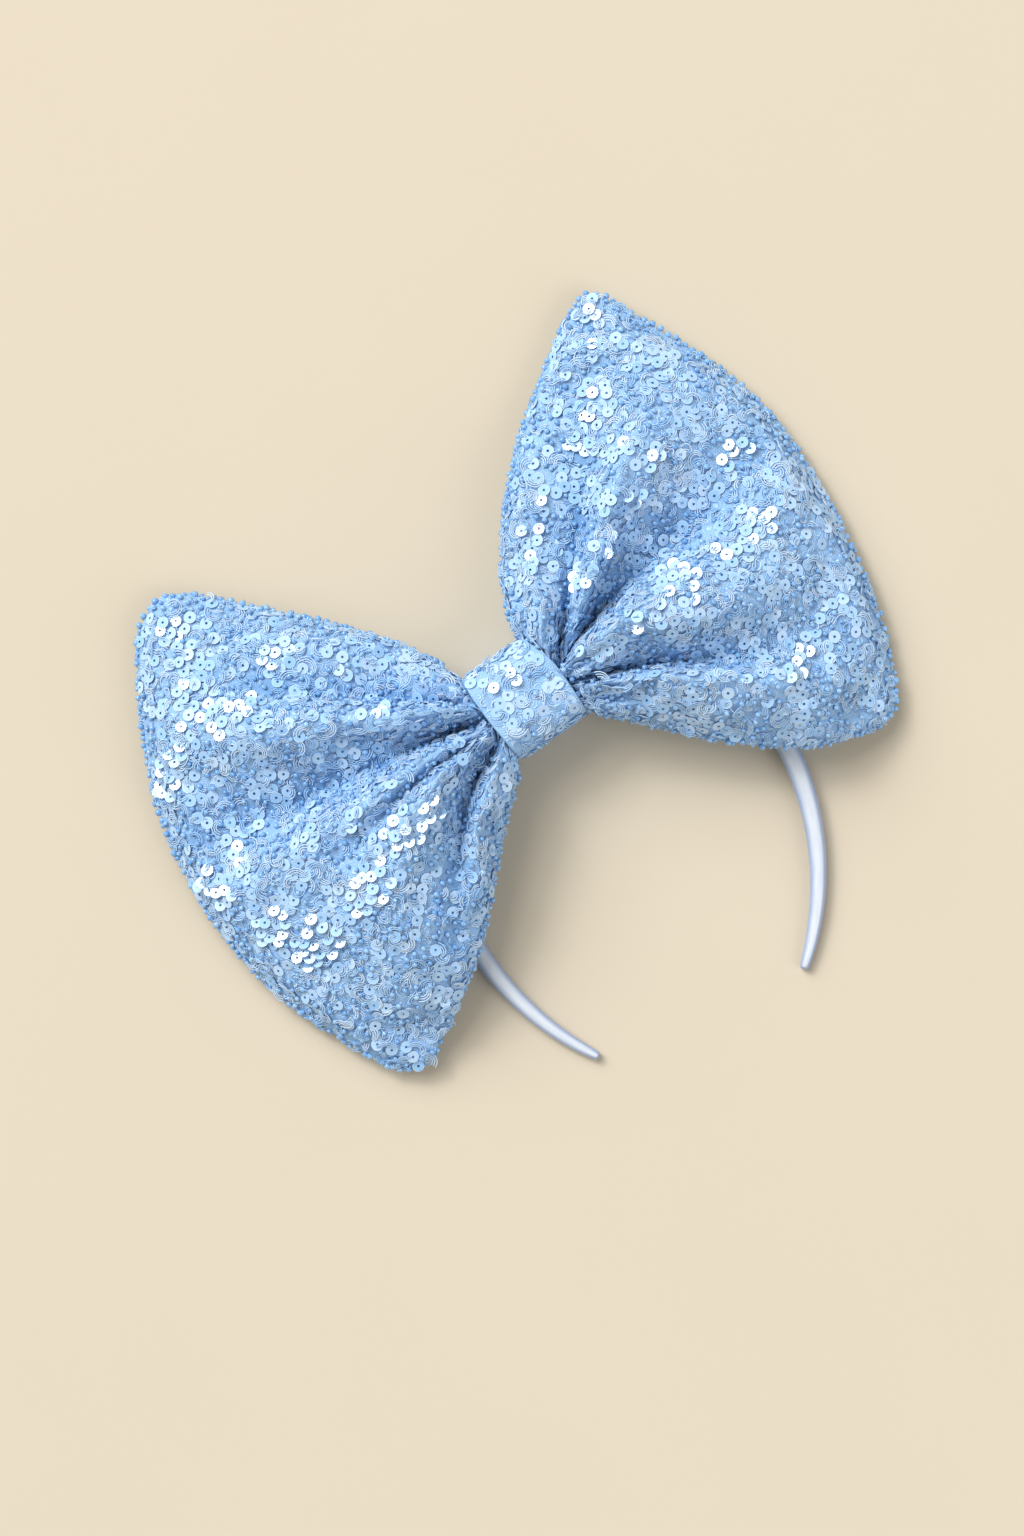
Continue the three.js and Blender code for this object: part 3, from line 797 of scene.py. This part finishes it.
# The patches, each by the place of its middle and its radius
patch_columns = [("x", float), ("y", float), ("radius", float)]
left_patches = np.array([
    (-98, 100, 5),
    (-104, 88, 6),
    (-107, 76, 6),
    (-110, 68, 6),
    (-102, 60, 7),
    (-92, 58, 5),
    (-74, 69, 4),
    (-66, 67, 5),
    (-126, 60, 5),
    (-134, 52, 6),
    (-54, 27, 3),
    (-49, 26, 3),
    (-68, -18, 7),
    (-56, -15, 5),
    (-88, -25, 8),
    (-98, -29, 5),
    (-118, -32, 9),
    (-128, -34, 6),
    (-132, -18, 7),
    (-143, 12, 5),
    (-141, 3, 4),
    (-82, -2, 4),
], dtype=patch_columns)
right_patches = np.array([
    (31, 42, 4),
    (39, 50, 5),
    (51, 61, 4),
    (75, 69, 5),
    (90, 80, 8),
    (95, 83, 5),
    (110, 111, 4),
    (46, 24, 5),
    (60, 30, 4),
    (79, 38, 4),
    (95, 46, 5),
    (74, 1, 8),
    (66, -1, 5),
    (51, -1, 3),
    (97, 2, 5),
    (113, 3, 8),
    (122, 32, 6),
    (128, 30, 4),
    (101, -46, 5),
    (92, -52, 5),
], dtype=patch_columns)
knot_patches = np.array([
    (13, 8, 3.5),
    (1, 8, 5),
    (-9, 10, 5),
    (-15, 10, 3),
], dtype=patch_columns)


def on_grid(grid, row, column):
    """Places and unit normals at fractional rows and columns of a grid of points, by blending the
    four corners of the cell. The normal is the cross product of the two ways across the cell, and
    all are turned over together if on the whole they point down."""
    i = np.clip(row.astype(int), 0, grid.shape[0] - 2)
    j = np.clip(column.astype(int), 0, grid.shape[1] - 2)
    u, v = (row - i)[:, None], (column - j)[:, None]
    a, b, c, d = grid[i, j], grid[i + 1, j], grid[i, j + 1], grid[i + 1, j + 1]
    place = (1 - u) * ((1 - v) * a + v * c) + u * ((1 - v) * b + v * d)
    down, over = (1 - v) * (b - a) + v * (d - c), (1 - u) * (c - a) + u * (d - b)
    normal = unit(np.cross(down, over))
    return place, normal * np.sign(normal[:, 2].sum())


def strew(grid, number, draw):
    """Random rows and columns on the grid, as many to each square millimetre everywhere: cells are
    drawn by their area and a place is drawn inside each."""
    edge_a = grid[1:, :-1] - grid[:-1, :-1]
    edge_b = grid[:-1, 1:] - grid[:-1, :-1]
    area = np.linalg.norm(np.cross(edge_a, edge_b), axis=-1).ravel()
    cell = draw.choice(len(area), number, p=area / area.sum())
    row, column = np.divmod(cell, grid.shape[1] - 1)
    return row + draw.random(number), column + draw.random(number)


def keep_apart(places, radius, rank):
    """Which of the places to keep so that no two are nearer than the sum of their radii. In rounds,
    each place that outranks all its near neighbours is kept and they are dropped."""
    order = np.argsort(places[:, 0])
    p, r, rank = places[order], radius[order], rank[order]
    reach = 2 * r.max()
    firsts, seconds = [], []
    shift = 1
    while shift < len(p):
        ahead = p[shift:, 0] - p[:-shift, 0] < reach
        if not ahead.any():
            break
        k = np.flatnonzero(ahead)
        near = ((p[k + shift] - p[k]) ** 2).sum(-1) < (r[k + shift] + r[k]) ** 2
        firsts.append(k[near])
        seconds.append(k[near] + shift)
        shift += 1
    first, second = np.concatenate(firsts), np.concatenate(seconds)
    loser = np.where(rank[first] < rank[second], first, second)
    winner = first + second - loser
    alive = np.ones(len(p), dtype=bool)
    kept = np.zeros(len(p), dtype=bool)
    while alive.any():
        beaten = np.zeros(len(p), dtype=bool)
        beaten[loser] = True
        best = alive & ~beaten
        kept |= best
        gone = best.copy()
        gone[loser[best[winner]]] = True
        alive &= ~gone
        live = alive[loser] & alive[winner]
        loser, winner = loser[live], winner[live]
    result = np.zeros(len(p), dtype=bool)
    result[order] = kept
    return result


def copies(shape, faces, places, axes, sizes):
    """Many copies of one small shape as joined arrays: each is sized, turned so that its X, Y and Z
    lie along the three axes given for it, and moved to its place."""
    local = shape[None] * sizes[:, None, None]
    points = places[:, None] + local @ axes
    offsets = np.arange(len(places))[:, None, None] * len(shape)
    return points.reshape(-1, 3), (faces[None] + offsets).reshape(-1, faces.shape[1])


def tilted_axes(normals, tilt, draw):
    """Three axes for each normal, the last one along it but tipped by a random angle, about as large
    as tilt in radians, and the other two turned at random round it."""
    third = unit(normals + tilt * draw.normal(size=normals.shape))
    first = unit(np.cross(third, draw.normal(size=normals.shape)))
    return np.stack([first, np.cross(third, first), third], 1)


def ring_of(radius, height, sides):
    """Points round a circle at a height."""
    angle = 2 * np.pi * np.arange(sides) / sides
    return np.stack([radius * np.cos(angle), radius * np.sin(angle), np.full(sides, height)], -1)


def sequin_shape():
    """A thin flat ring: a small rectangle carried round a circle. Also gives how near each point
    is to the outer edge, from 0 at the hole to 1."""
    half = SEQUIN_FILM / 2
    section = [(SEQUIN_RADIUS, -half), (SEQUIN_RADIUS, half), (SEQUIN_HOLE, half),
               (SEQUIN_HOLE, -half)]
    points = np.concatenate([ring_of(radius, z, SEQUIN_SIDES) for radius, z in section])
    rim = np.repeat([1, 1, 0, 0], SEQUIN_SIDES)
    return points, faces_out(points, skin(4, SEQUIN_SIDES, closed=True)), rim


def bead_shape():
    """A round bead, flatter along its hole: circles at four latitudes, closed at both ends."""
    latitude = np.radians([-80, -28, 28, 80])
    rings = [ring_of(np.cos(a), BEAD_FLATTENING * np.sin(a), BEAD_SIDES) for a in latitude]
    points = BEAD_RADIUS * np.concatenate(rings)
    return points, faces_out(points, skin(len(latitude), BEAD_SIDES))


def curls(places, axes, radius, sweep, rise, start):
    """Raised threads as three-sided tubes. Each follows an arc of its own radius, start and sweep in
    the cloth's plane, widening as it turns, and arches up in the middle by its rise."""
    u = np.linspace(0, 1, THREAD_STEPS)[None, :, None]
    turn = start[:, None, None] + sweep[:, None, None] * u
    size = radius[:, None, None] * (0.7 + 0.6 * u)
    first, second, third = (axes[:, None, k] for k in range(3))
    arm = first * np.cos(turn) + second * np.sin(turn)
    centre = places[:, None] + arm * size + third * rise[:, None, None] * np.sin(np.pi * u)
    angle = 2 * np.pi * (np.arange(3) + 0.25) / 3
    ring = [centre + THREAD_RADIUS * (arm * np.cos(a) + third * np.sin(a)) for a in angle]
    points = np.stack(ring, 2).reshape(-1, 3)
    k = np.arange(THREAD_STEPS - 1)[:, None] * 3
    side = np.arange(3)[None]
    after = (side + 1) % 3
    faces = np.stack([k + side, k + after, k + 3 + after, k + 3 + side], -1).reshape(-1, 4)
    faces = faces[None] + np.arange(len(places))[:, None, None] * THREAD_STEPS * 3
    faces = np.where(sweep[:, None, None] > 0, faces[..., ::-1], faces)
    return points, faces.reshape(-1, 4)


def sequin_material():
    """Clear blue polyester film, rolled smooth: it takes the cloth's colour when it lies off the
    light and flashes white, from edge to edge, where it faces it. A pale line is painted along the cut
    edge, a painted highlight, and the pin hole with a thin ring round it is painted deep blue, painted
    shade."""
    material, tree, output = start_material("blue polyester sequin film")
    tone = add_node(tree, "ShaderNodeAttribute", attribute_name="tone")
    colour = add_node(tree, "ShaderNodeMix", {"Factor": tone.outputs["Fac"], "A": linear(SEQUIN_BLUE),
                                              "B": linear(SEQUIN_PALE)}, data_type="RGBA")
    rim = add_node(tree, "ShaderNodeAttribute", attribute_name="rim")
    # Painted highlight: a pale line along the cut edge
    border = add_node(tree, "ShaderNodeMapRange", {"Value": rim.outputs["Fac"], "From Min": 0.86,
                                                   "From Max": 0.95, "To Min": 0.0, "To Max": 0.6})
    edged = add_node(tree, "ShaderNodeMix", {"Factor": border.outputs[0], "A": colour.outputs["Result"],
                                             "B": linear(SEQUIN_RIM_HIGHLIGHT)}, data_type="RGBA")
    # Painted shade: the pin hole and a thin ring round it go dark blue
    hole = add_node(tree, "ShaderNodeMapRange", {"Value": rim.outputs["Fac"], "From Min": 0.02,
                                                 "From Max": 0.1, "To Min": 1.0, "To Max": 0.0})
    hole_shaded = add_node(tree, "ShaderNodeMix", {"Factor": hole.outputs[0], "A": edged.outputs["Result"],
                                               "B": linear(SEQUIN_HOLE_SHADE)}, data_type="RGBA")
    shader = add_node(tree, "ShaderNodeBsdfPrincipled", {
        "Base Color": hole_shaded.outputs["Result"], "Roughness": 0.15, "IOR": 1.5,
        "Coat Weight": 0.15, "Coat Roughness": 0.06})
    tree.links.new(shader.outputs[0], output.inputs[0])
    return material


def bead_material():
    """Pressed glass with a pearl blue core: a deep blue body and one small hard highlight."""
    material, tree, output = start_material("blue glass seed bead")
    tone = add_node(tree, "ShaderNodeAttribute", attribute_name="tone")
    colour = add_node(tree, "ShaderNodeMix", {"Factor": tone.outputs["Fac"], "A": linear(BEAD_BLUE),
                                              "B": linear(BEAD_PALE)}, data_type="RGBA")
    shader = add_node(tree, "ShaderNodeBsdfPrincipled", {
        "Base Color": colour.outputs["Result"], "Roughness": 0.22, "IOR": 1.8,
        "Coat Weight": 1.0, "Coat Roughness": 0.12})
    tree.links.new(shader.outputs[0], output.inputs[0])
    return material


def thread_material():
    """Rayon embroidery thread, twisted and shiny: each thread a tone between pale and bluer, painted
    bluer down in the creases as painted shade.
    """
    material, tree, output = start_material("rayon embroidery thread")
    tone = add_node(tree, "ShaderNodeAttribute", attribute_name="tone")
    colour = add_node(tree, "ShaderNodeMix", {"Factor": tone.outputs["Fac"], "A": linear(THREAD_BLUE),
                                              "B": linear(THREAD_PALE)}, data_type="RGBA")
    shader = add_node(tree, "ShaderNodeBsdfPrincipled", {
        "Base Color": colour.outputs["Result"], "Roughness": 0.42, "Specular IOR Level": 0.3})
    tree.links.new(shader.outputs[0], output.inputs[0])
    return material


finishes = {"sequins": sequin_material(), "beads": bead_material(), "threads": thread_material()}


def trim_piece(name, kind, points, faces, tones, rim=None):
    """Makes one joined piece of trimming, with a tone for each copy, and fixes it to the part."""
    piece = mesh_piece(name + "_" + kind, points, faces, smooth=kind != "sequins")
    store(piece, "tone", np.repeat(np.clip(tones, 0, 1), len(points) // len(tones)))
    if rim is not None:
        store(piece, "rim", np.tile(rim, len(tones)))
    piece.data.materials.append(finishes["beads" if "beads" in kind else kind])
    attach(piece, "root")


def spread_sequins_and_beads(grid, crease, patches, seed, style, draw):
    """Where the sequins and beads go. Sequins fill the patches and also lie loose where a cloudy
    field is high, beads take the rest, and no two lie nearer than their sizes allow. Gives the
    places, the normals, how sunk each is in a crease, and which are discs, rounds and in a patch."""
    number = np.array([style["sequins"], style["beads"]])
    row, column = strew(grid, number.sum(), draw)
    place, normal = on_grid(grid, row, column)
    sunk = crease[row.astype(int), column.astype(int)]
    is_bead = np.repeat([False, True], number)
    x, y = place[:, 0], place[:, 1]
    away = np.hypot(x[:, None] - patches["x"], y[:, None] - patches["y"]) / patches["radius"]
    in_patch = away.min(1) < draw.uniform(*PATCH_FRINGE, len(place))
    cloud = waves(x, y, LOOSE_LENGTH, seed + 1) + 0.6 * waves(x, y, LOOSE_DETAIL, seed + 2)
    loose = cloud > draw.uniform(*LOOSE_FRINGE, len(place))
    bead_wanted = ~loose | (draw.random(len(place)) < BEAD_SHARE)
    wanted = np.where(is_bead, bead_wanted, in_patch | loose)
    bead_size = BEAD_SPACING * draw.uniform(0.75, 1.4, len(place))
    sequin_size = SEQUIN_SPACING * draw.uniform(0.95, 1.1, len(place))
    size = np.where(is_bead, bead_size, sequin_size) / 2
    rank = draw.random(len(place)) + 2.0 * in_patch * ~is_bead
    chosen = np.flatnonzero(wanted)
    chosen = chosen[keep_apart(place[chosen], size[chosen], rank[chosen])]
    return place, normal, sunk, chosen[~is_bead[chosen]], chosen[is_bead[chosen]], in_patch


def sew_sequins(name, place, normal, sunk, in_patch, style, draw):
    """Discs that lie on the cloth at small random tilts, or lean towards the flash in a patch."""
    shape, faces, rim = sequin_shape()
    leaning = in_patch & (draw.random(len(place)) < LEANING_SHARE)
    facing = np.where(leaning[:, None], LEAN, normal)
    axes = tilted_axes(facing, np.where(leaning, LEAN_TILT, style["tilt"])[:, None], draw)
    height = style["lift"] * draw.uniform(*SEQUIN_LIFT, (len(place), 1))
    height = height + leaning[:, None] * LEAN_LIFT
    points, quads = copies(shape, faces, place + normal * height, axes,
                           draw.uniform(0.94, 1.04, len(place)))
    # the tone is painted darker down in the creases, as painted shade
    tones = style["paler"] + draw.random(len(place)) - PAINTED_CREASE_SHADE * sunk
    # the rim is scaled by how strong its painted highlight is
    trim_piece(name, "sequins", points, quads, tones, rim * style["rim_highlight"])


def sew_beads(name, place, normal, sunk, draw):
    """Beads turned at random, sunk a little into the cloth."""
    shape, faces = bead_shape()
    axes = tilted_axes(draw.normal(size=(len(place), 3)), 1.0, draw)
    points, quads = copies(shape, faces, place + normal * BEAD_LIFT, axes,
                           draw.uniform(0.8, 1.12, len(place)))
    # the tone is painted darker down in the creases, as painted shade
    tones = draw.random(len(place)) - PAINTED_CREASE_SHADE * sunk
    trim_piece(name, "beads", points, quads, tones)


def embroider(name, grid, crease, style, draw):
    """Curls of thread at random places, each one to three arcs that run side by side."""
    row, column = strew(grid, style["threads"], draw)
    place, normal = on_grid(grid, row, column)
    sunk = crease[row.astype(int), column.astype(int)]
    axes = tilted_axes(normal, THREAD_TILT, draw)
    radius = draw.uniform(*CURL_RADIUS, len(place))
    sweep = draw.uniform(*CURL_SWEEP, len(place)) * draw.choice([-1, 1], len(place))
    start = draw.uniform(0, 2 * np.pi, len(place))
    place = place + normal * draw.uniform(*THREAD_LIFT, (len(place), 1)) * style["lift"]
    rise = draw.uniform(*CURL_RISE, len(place)) * style["lift"]
    # the tone is painted darker down in the creases, as painted shade
    tones = draw.random(len(place)) - PAINTED_CREASE_SHADE * sunk
    strands = np.repeat(np.arange(len(place)), draw.integers(1, 4, len(place)))
    step = np.arange(len(strands)) - np.searchsorted(strands, strands)
    points, quads = curls(place[strands], axes[strands], radius[strands] + THREAD_STEP * step,
                          sweep[strands], rise[strands], start[strands])
    trim_piece(name, "threads", points, quads, tones[strands])


def decorate(name, grid, crease, patches, seed, style):
    """Sews the trimming on one face. Everything is painted darker down in the creases, as painted
    shade.
    """
    draw = np.random.default_rng(seed)
    place, normal, sunk, discs, rounds, in_patch = spread_sequins_and_beads(
        grid, crease, patches, seed, style, draw)
    sew_sequins(name, place[discs], normal[discs], sunk[discs], in_patch[discs], style, draw)
    sew_beads(name, place[rounds], normal[rounds], sunk[rounds], draw)
    embroider(name, grid, crease, style, draw)


FIRST_ROW = 9    # where the trimming starts, clear of the knot
loop_style = {"sequins": 9000, "beads": 9000, "threads": 2200, "tilt": 0.12, "lift": 1.0,
              "paler": 0.0, "rim_highlight": 1.0}
for loop, patches, seed in ((left_loop, left_patches, 21), (right_loop, right_patches, 31)):
    name = loop["name"]
    decorate(name, fronts[name][FIRST_ROW:], creases[name][FIRST_ROW:], patches, seed, loop_style)
knot_style = {"sequins": 300, "beads": 60, "threads": 230, "tilt": 0.03, "lift": 0.45,
              "paler": 0.25, "rim_highlight": 0.87}
no_creases = np.zeros(knot_face.shape[:2])
decorate("knot", knot_face, no_creases, knot_patches, 41, knot_style)


# Glass seed beads are sewn along the seam of each loop, a few millimetres apart, and stand out from
# it. Between them the embroidery thread shows as picots, small half rings over the edge.

EDGE_SPACING = 2.9
EDGE_BEAD_SIZE = 1.18
EDGE_BEAD_OUT = (0.6, 1.8)
EDGE_BEAD_DROP = (0.2, 2.4)
PICOT_SPACING = 2.0
PICOT_RADIUS = (0.9, 1.7)
PICOT_SINK = 0.3
PICOT_DROP = (-0.2, 2.2)
PICOT_TILT = 0.35
LOWEST_CENTRE = 1.5      # so that nothing sewn to the edge goes below the surface
FIRST_RIM_ROW = 6


def along_rim(rim, length, at):
    """Places at distances along the rim, with the way along it and the level way across there. The
    way along points from each place to the one half a millimetre on."""
    place, ahead = (np.stack([np.interp(distance, length, rim[:, k]) for k in range(3)], -1)
                    for distance in (at, at + 0.5))
    forward = unit(ahead - place)
    return place, forward, np.stack([forward[:, 1], -forward[:, 0], np.zeros(len(at))], -1)


def edge_trim(loop, seed):
    """Beads at uneven steps along the rim, half out of the seam, and picots at random places."""
    draw = np.random.default_rng(seed)
    grid = fronts[loop["name"]]
    first = FIRST_RIM_ROW
    rim = np.concatenate([grid[first:, 0], grid[-1, 1:], grid[-2:first - 1:-1, -1]])
    length = np.concatenate([[0], np.cumsum(np.linalg.norm(np.diff(rim, axis=0), axis=1))])
    steps = draw.uniform(0.6, 1.4, int(length[-1] / EDGE_SPACING))
    at = np.cumsum(steps) * EDGE_SPACING
    at = at[at < length[-1] - 1]
    place, forward, across = along_rim(rim, length, at)
    place = place + across * loop["side"] * draw.uniform(*EDGE_BEAD_OUT, (len(at), 1))
    place[:, 2] = np.maximum(place[:, 2] - draw.uniform(*EDGE_BEAD_DROP, len(at)), LOWEST_CENTRE)
    shape, faces = bead_shape()
    axes = tilted_axes(draw.normal(size=(len(at), 3)), 1.0, draw)
    points, quads = copies(shape, faces, place, axes,
                           EDGE_BEAD_SIZE * draw.uniform(0.85, 1.15, len(at)))
    trim_piece(loop["name"], "edge_beads", points, quads, draw.random(len(at)) * 0.6)

    at = draw.uniform(0, length[-1] - 1, int(length[-1] / PICOT_SPACING))
    place, forward, across = along_rim(rim, length, at)
    outward = across * loop["side"]
    place = place - outward * PICOT_SINK
    place[:, 2] = np.maximum(place[:, 2] - draw.uniform(*PICOT_DROP, len(at)), LOWEST_CENTRE)
    third = unit(np.cross(forward, outward) + PICOT_TILT * draw.normal(size=forward.shape))
    axes = np.stack([forward, outward, third], 1)
    radius = draw.uniform(*PICOT_RADIUS, len(at))
    flat = np.zeros(len(at))
    points, quads = curls(place, axes, radius, flat + np.pi, flat, flat)
    trim_piece(loop["name"] + "_picot", "threads", points, quads, draw.random(len(at)) * 0.7)


edge_trim(left_loop, 51)
edge_trim(right_loop, 61)


# The headband lies on a plain pale surface. The camera looks straight down at the bow's face,
# turned so that the bow leans.

FLOOR = "#ccc3b3"
FLOOR_PALE = "#cec6b6"
FLOOR_HALF_WIDTH = 30000.0
FLOOR_HEIGHT = -0.2
PIXELS_PER_MM = 2.55
IMAGE_HEIGHT = 1536
BOW_TILT = math.radians(34.8)
KNOT_PIXEL = (523, 697)
IMAGE_CENTRE = (512, 768)
LENS = 85.0
SENSOR = 36.0
SUBJECT_HEIGHT = 25.0    # the scale holds at this height above the surface


def floor_material():
    """Smooth painted board: matt and pale."""
    material, tree, output = start_material("matt painted board")
    place = add_node(tree, "ShaderNodeTexCoord").outputs["Object"]
    grain = add_node(tree, "ShaderNodeTexNoise", {"Vector": place, "Scale": 9.0, "Detail": 4})
    colour = add_node(tree, "ShaderNodeMix", {"Factor": grain.outputs["Fac"], "A": linear(FLOOR),
                                              "B": linear(FLOOR_PALE)}, data_type="RGBA")
    shader = add_node(tree, "ShaderNodeBsdfPrincipled", {
        "Base Color": colour.outputs["Result"], "Roughness": 0.9, "Specular IOR Level": 0.1})
    tree.links.new(shader.outputs[0], output.inputs[0])
    return material


corners = [(x * FLOOR_HALF_WIDTH, y * FLOOR_HALF_WIDTH, FLOOR_HEIGHT)
           for x, y in ((-1, -1), (1, -1), (1, 1), (-1, 1))]
floor = mesh_piece("floor", corners, [(0, 1, 2, 3)])
floor.data.materials.append(floor_material())

camera = bpy.data.objects.new("camera", bpy.data.cameras.new("camera"))
bpy.context.scene.collection.objects.link(camera)
camera.data.lens = LENS
camera.data.sensor_width = SENSOR
camera.data.clip_end = 100
right = (IMAGE_CENTRE[0] - KNOT_PIXEL[0]) / PIXELS_PER_MM
down = (IMAGE_CENTRE[1] - KNOT_PIXEL[1]) / PIXELS_PER_MM
aim_x = right * math.cos(BOW_TILT) - down * math.sin(BOW_TILT)
aim_y = -right * math.sin(BOW_TILT) - down * math.cos(BOW_TILT)
distance = IMAGE_HEIGHT / PIXELS_PER_MM * LENS / SENSOR
camera.location = (aim_x * MM, aim_y * MM, (distance + SUBJECT_HEIGHT) * MM)
camera.rotation_euler = (0, 0, -BOW_TILT)
bpy.context.scene.camera = camera


# A fairly small key light stands beyond the bow's top, with a wide soft sky on the same side that
# lights the far floor too. A large low fill opens the shadows, and the room is a warm white.

KEY_SIZE, FILL_SIZE = 1.0, 3.2
SKY_WIDTH = math.radians(50)
ROOM = "#f7eedd"
ROOM_STRENGTH = 0.46


def studio_light(name, kind, place, power, colour):
    """A light at a place in metres that faces the bow. A sun's power is in watts a square metre."""
    light = bpy.data.lights.new(name, kind)
    light.energy = power
    light.color = linear(colour)[:3]
    lamp = bpy.data.objects.new(name, light)
    bpy.context.scene.collection.objects.link(lamp)
    lamp.location = place
    lamp.rotation_euler = Vector(place).to_track_quat("Z", "Y").to_euler()
    return lamp


key = studio_light("key", "AREA", (-0.56, 2.9, 2.8), 58.0, "#fffaf4")
key.data.size = KEY_SIZE
sky = studio_light("sky", "SUN", (-0.5, 2.9, 2.8), 2.65, "#fdfbf8")
sky.data.angle = SKY_WIDTH
sky.visible_glossy = False
fill = studio_light("fill", "AREA", (1.6, -3.0, 2.6), 60.0, "#f3f6ff")
fill.data.size = FILL_SIZE

world = bpy.data.worlds.new("studio")
world.use_nodes = True
world.node_tree.nodes["Background"].inputs["Color"].default_value = linear(ROOM)
world.node_tree.nodes["Background"].inputs["Strength"].default_value = ROOM_STRENGTH
bpy.context.scene.world = world
bpy.context.scene.view_settings.view_transform = "Standard"
